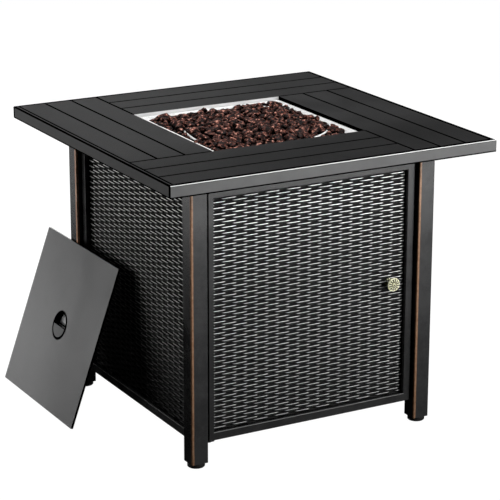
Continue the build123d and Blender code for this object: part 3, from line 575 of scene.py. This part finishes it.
WIN = 232.6 * MM
OUT = 265.6 * MM
col = lambda *a: np.stack(a, -1)
# each sheet gets its own painted light: the door's crests bright from bottom to top, the left sheet's crests nearly
# black at the bottom and its coat darker, the right and back sheets the plain defaults
weave("door_weave_pressed", "door_weave", "door", lambda u, z, w: col(u - WIN, -OUT - w, z), 2 * WIN, 0.068, 0.571, 1,
      WIN + 10.0 * MM, 321.2 * MM, paint_strand_light("weave_door", 0, 10.0 * MM, 321.2 * MM, 0.90, 0.99, 0.003, 0.12))
weave("left_weave_pressed", "panel_left_weave", "table", lambda u, z, w: col(-OUT - w, WIN - u, z), 2 * WIN, 0.070, 0.571, 2,
      WIN - 20.5 * MM, 319.0 * MM, paint_strand_light("weave_left", 1, 20.5 * MM, 319.0 * MM, 0.03, 0.98, 0.0012, 0.06))
weave("right_weave_pressed", "panel_right_weave", "table", lambda u, z, w: col(OUT + w, u - WIN, z), 2 * WIN, 0.070, 0.571, 3,
      WIN, 320.0 * MM, paint_strand_light("weave_right", 1, 0.0, 320.0 * MM))
weave("back_weave_pressed", "panel_back_weave", "table", lambda u, z, w: col(WIN - u, OUT + w, z), 2 * WIN, 0.070, 0.571, 4,
      WIN, 320.0 * MM, paint_strand_light("weave_back", 0, 0.0, 320.0 * MM))


# ------------------------------------------------------------------ lava rock
def inside(x, y, half, r):
    ax_, ay_ = abs(x), abs(y)
    if ax_ > half or ay_ > half:
        return False
    dx, dy = ax_ - (half - r), ay_ - (half - r)
    return not (dx > 0 and dy > 0 and math.hypot(dx, dy) > r)


def mound(x, y):
    q = max(abs(x), abs(y)) / 0.164
    return 0.6278 + 0.0040 * max(0.0, 1 - q * q * q)


def rr(t, half, r):
    """Point of a rounded square at angle t."""
    c, s = math.cos(t), math.sin(t)
    k = half / max(abs(c), abs(s))
    x, y = c * k, s * k
    dx, dy = abs(x) - (half - r), abs(y) - (half - r)
    if dx > 0 and dy > 0:
        # meet the corner circle along the same ray
        cx = half - r
        b_ = -(abs(c) + abs(s)) * cx
        q = 2 * cx * cx - r * r
        k = -b_ + math.sqrt(max(0.0, b_ * b_ - q))
        x, y = c * k, s * k
    return x, y


# folded bead of the pan, bare of rocks at two corners
BEADS = []
for k in (0, 3):
    BEADS.append([(0.1765 * math.cos(math.radians(90 * k + 22.6 + 1.12 * i)), 0.1765 * math.sin(math.radians(90 * k + 22.6 + 1.12 * i)))
                  for i in range(41)])
BEADS.append([(-0.1575 + 0.0140 * (i / 20) ** 1.5, -0.066 + 0.084 * i / 20) for i in range(21)])
bare = BEADS[1] + BEADS[2]
rnd = random.Random(7)
bm = bmesh.new()
spots = []
border = []
for i in range(84):
    q = rr(2 * math.pi * i / 84, 0.1565, 0.0100)
    border.append((q[0] + rnd.uniform(-0.001, 0.001), q[1] + rnd.uniform(-0.001, 0.001)))
for size, gap, tries in ((0.0100, 0.0140, -1), (0.0142, 0.0225, 3000), (0.0105, 0.0155, 4000), (0.0074, 0.0105, 3500)):
    for k in range(len(border) if tries < 0 else tries):
        x, y = border[k] if tries < 0 else (rnd.uniform(-0.163, 0.163), rnd.uniform(-0.163, 0.163))
        if not inside(x, y, 0.1660 - size * 0.75, 0.012):
            continue
        if x > 0.143 and y < -0.138:
            continue
        if any((x - a) ** 2 + (y - b_) ** 2 < ((gap + g) * 0.5) ** 2 for a, b_, g in spots):
            continue
        if any((x - a) ** 2 + (y - b_) ** 2 < (size * 0.8) ** 2 for a, b_ in bare):
            continue
        spots.append((x, y, gap))
        r = size * rnd.uniform(0.85, 1.2)
        z = mound(x, y) + rnd.uniform(-0.004, 0.003) + (0.003 if size < 0.009 else 0.0)
        z = min(z, 0.6362 - r * 0.35)
        geo = bmesh.ops.create_icosphere(bm, subdivisions=2, radius=1.0)
        off = Vector((rnd.uniform(-50, 50), rnd.uniform(-50, 50), rnd.uniform(-50, 50)))
        sc = Vector((rnd.uniform(0.85, 1.25), rnd.uniform(0.8, 1.1), rnd.uniform(0.7, 0.95)))
        turn = Matrix.Rotation(rnd.uniform(0, 6.28), 3, "Z") @ Matrix.Rotation(rnd.uniform(-0.6, 0.6), 3, "X")
        cuts = []
        for _c in range(9):
            nrm = Vector((rnd.gauss(0, 1), rnd.gauss(0, 1), rnd.gauss(0, 1))).normalized()
            cuts.append((nrm, rnd.uniform(0.72, 1.0)))
        for v in geo["verts"]:
            d = v.co.copy()
            k = 1.12
            for nrm, lim in cuts:
                f = d.dot(nrm)
                if f > 0.05:
                    k = min(k, lim / f)
            k *= 1 + 0.22 * noise.noise(d * 1.8 + off) + 0.16 * noise.noise(d * 4.5 + off)
            v.co = turn @ Vector((d.x * sc.x, d.y * sc.y, d.z * sc.z)) * (k * r) + Vector((x, y, z))
me = bpy.data.meshes.new("lava_rocks")
bm.to_mesh(me)
bm.free()
rocks = bpy.data.objects.new("lava_rocks", me)
scene.collection.objects.link(rocks)
rock_m = Mat("lava_rock")
rock_m.set(Specular_IOR_Level=0.14)
big = rock_m.noise(130.0, 4.0, 0.65)
fine = rock_m.noise(620.0, 5.0, 0.65)
cell = rock_m.voronoi(230.0)
tint = rock_m.ramp(big, [(0.40, (0.002, 0.0012, 0.0011)), (0.50, (0.024, 0.0075, 0.006)), (0.58, (0.190, 0.060, 0.041)), (0.67, (0.84, 0.43, 0.33))])
rock_m.to(rock_m.mix(rock_m.range(cell, 0.10, 0.50), (0.0012, 0.0009, 0.0009), tint), "Base Color")
rock_m.to(rock_m.range(fine, 0.3, 0.7, 0.42, 0.75), "Roughness")
nb = rock_m.bump(cell, 0.6, 0.0016)
rock_m.bump(fine, 0.5, 0.0012, nb)
# painted shade: the rocks inked towards black where they crowd each other
paint_gap_shade(rock_m, 0.017, 0.56, 0.98)
me.materials.append(rock_m.m)
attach(rocks, "table")

# bead
verts, faces = [], []
for run in BEADS:
    n0 = len(verts)
    for i, (x, y) in enumerate(run):
        nxt, prv = run[min(i + 1, len(run) - 1)], run[max(i - 1, 0)]
        t = Vector((nxt[0] - prv[0], nxt[1] - prv[1], 0)).normalized()
        side = Vector((t.y, -t.x, 0))
        for j in range(8):
            a_ = math.pi * j / 4
            verts.append(Vector((x, y, 0.6332)) + side * (0.0022 * math.cos(a_)) + Vector((0, 0, 0.0022 * math.sin(a_))))
    for i in range(len(run) - 1):
        for j in range(8):
            k = n0 + i * 8
            faces.append((k + j, k + 8 + j, k + 8 + (j + 1) % 8, k + (j + 1) % 8))
    faces.append(tuple(n0 + j for j in range(7, -1, -1)))
    faces.append(tuple(n0 + (len(run) - 1) * 8 + j for j in range(8)))
new_mesh("bowl_bead", verts, faces, "table", stainless)

# packed bed under the loose rocks
n = 64
verts, faces = [], []
rings = [0.0, 0.25, 0.5, 0.7, 0.85, 0.94, 1.0]


verts.append((0, 0, mound(0, 0) - 0.008))
for f in rings[1:]:
    for i in range(n):
        x, y = rr(2 * math.pi * i / n, 0.1620, 0.0240)
        x, y = x * f, y * f
        bumpy = 0.004 * noise.noise(Vector((x * 60, y * 60, 3.0)))
        verts.append((x, y, mound(x, y) - 0.008 + bumpy))
for i in range(n):
    x, y = rr(2 * math.pi * i / n, 0.1490, 0.0690)
    verts.append((x, y, 0.6145))
for i in range(n):
    x, y = rr(2 * math.pi * i / n, 0.1490, 0.0690)
    verts.append((x, y, 0.5605))
verts.append((0, 0, 0.5605))
for i in range(n):
    faces.append((0, 1 + i, 1 + (i + 1) % n))
layers = len(rings) + 1
for l in range(layers - 1):
    a = 1 + l * n
    for i in range(n):
        faces.append((a + i, a + n + i, a + n + (i + 1) % n, a + (i + 1) % n))
a = 1 + (layers - 1) * n
for i in range(n):
    faces.append((a + i, len(verts) - 1, a + (i + 1) % n))
bed = new_mesh("lava_bed", verts, faces, "table", rock_m, True)
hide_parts("lava_rock")

# ------------------------------------------------------------------ door knob
KX, KZ = 0.197, 0.3235
NA = 120
PET = 12
prof = []      # (radius, distance from the base towards the front, petal depth, petal width share)


def knob_ring(r, h, amp=0.0, sharp=1.0, wave=0.0):
    out = []
    for i in range(NA):
        t = 2 * math.pi * i / NA
        p = abs(math.cos(PET * t / 2)) ** sharp
        hh = h + amp * (p - 0.6)
        r2 = r * (1 + wave * (p - 0.5))
        out.append((KX + r2 * math.cos(t), -0.2686 - hh, KZ + r2 * math.sin(t)))
    return out


mm = MM
spec = [
    (5.9, 0.0, 0, 1, 0), (6.0, 0.8, 0, 1, 0), (5.2, 2.2, 0, 1, 0), (4.8, 5.0, 0, 1, 0), (5.0, 8.0, 0, 1, 0), (6.2, 10.6, 0, 1, 0),
    (9.6, 12.2, 0, 1, 0.02), (13.0, 13.4, 0, 1, 0.05), (14.6, 14.9, 0, 1, 0.06), (14.9, 16.3, 0, 1, 0.06), (14.3, 17.6, 0, 1, 0.06),
    (13.4, 18.2, 0.3, 1, 0.05), (12.7, 17.9, 0.6, 1, 0.04), (12.2, 17.3, 1.2, 0.8, 0.02), (11.0, 17.9, 2.2, 0.8, 0), (9.4, 18.6, 2.6, 0.8, 0), (7.6, 18.7, 2.6, 0.9, 0),
    (6.0, 18.0, 2.0, 1.0, 0), (5.0, 17.0, 1.0, 1, 0), (4.4, 16.9, 0.3, 1, 0), (4.1, 18.4, 0, 1, 0), (3.5, 19.6, 0, 1, 0), (2.4, 20.3, 0, 1, 0), (1.2, 20.5, 0, 1, 0),
]
verts = [(KX, -0.2686, KZ)]
for r, h, amp, sharp, wave in spec:
    verts += knob_ring(r * mm, h * mm, amp * mm, sharp, wave)
verts.append((KX, -0.2686 - 20.5 * mm, KZ))
faces = [(0, 1 + (i + 1) % NA, 1 + i) for i in range(NA)]
for l in range(len(spec) - 1):
    a = 1 + l * NA
    faces += [(a + i, a + (i + 1) % NA, a + NA + (i + 1) % NA, a + NA + i) for i in range(NA)]
a = 1 + (len(spec) - 1) * NA
faces += [(a + i, a + (i + 1) % NA, len(verts) - 1) for i in range(NA)]
antique = Mat("antique_brass")
antique.set(Metallic=0.35)
geo_n = antique.nt.nodes.new("ShaderNodeNewGeometry")
hol = antique.range(geo_n.outputs["Pointiness"], 0.44, 0.52)
tint = antique.ramp(antique.noise(260.0, 4.0), [(0.3, (0.86, 0.83, 0.50)), (0.7, (0.99, 0.98, 0.78))])
kx = antique.math("SUBTRACT", antique.axis(0), KX)
kz = antique.math("SUBTRACT", antique.axis(2), KZ)
kr = antique.math("SQRT", antique.math("ADD", antique.math("MULTIPLY", kx, kx), antique.math("MULTIPLY", kz, kz)))
petal = antique.math("ABSOLUTE", antique.math("COSINE", antique.math("MULTIPLY", antique.math("ARCTAN2", kz, kx), PET / 2)))
groove = antique.math("MULTIPLY", antique.range(petal, 0.78, 0.58), antique.math("MULTIPLY", antique.range(kr, 0.0040, 0.0050), antique.range(kr, 0.0128, 0.0118)))
# painted shade: the knob's side behind its rim darkened except at its top; the petal grooves, recesses and centre
# darkened as patina
side = antique.math("MULTIPLY", antique.range(antique.axis(1), -0.2842, -0.2832), antique.range(kz, 0.0090, 0.0060))
patina_and_shade = antique.math("MAXIMUM", antique.math("MAXIMUM", side, antique.math("SUBTRACT", 1.0, hol)), antique.math("MAXIMUM", groove, antique.range(kr, 0.0022, 0.0014)))
antique.to(antique.mix(patina_and_shade, tint, (0.030, 0.026, 0.007)), "Base Color")
antique.to(antique.range(antique.noise(500.0, 3.0), 0.3, 0.7, 0.22, 0.42), "Roughness")
antique.bump(antique.noise(900.0, 2.0), 0.1, 0.0003)
knob = new_mesh("door_knob_rosette", verts, faces, "door", antique, True, ("door_knob",))
give(antique, "door_knob_base")
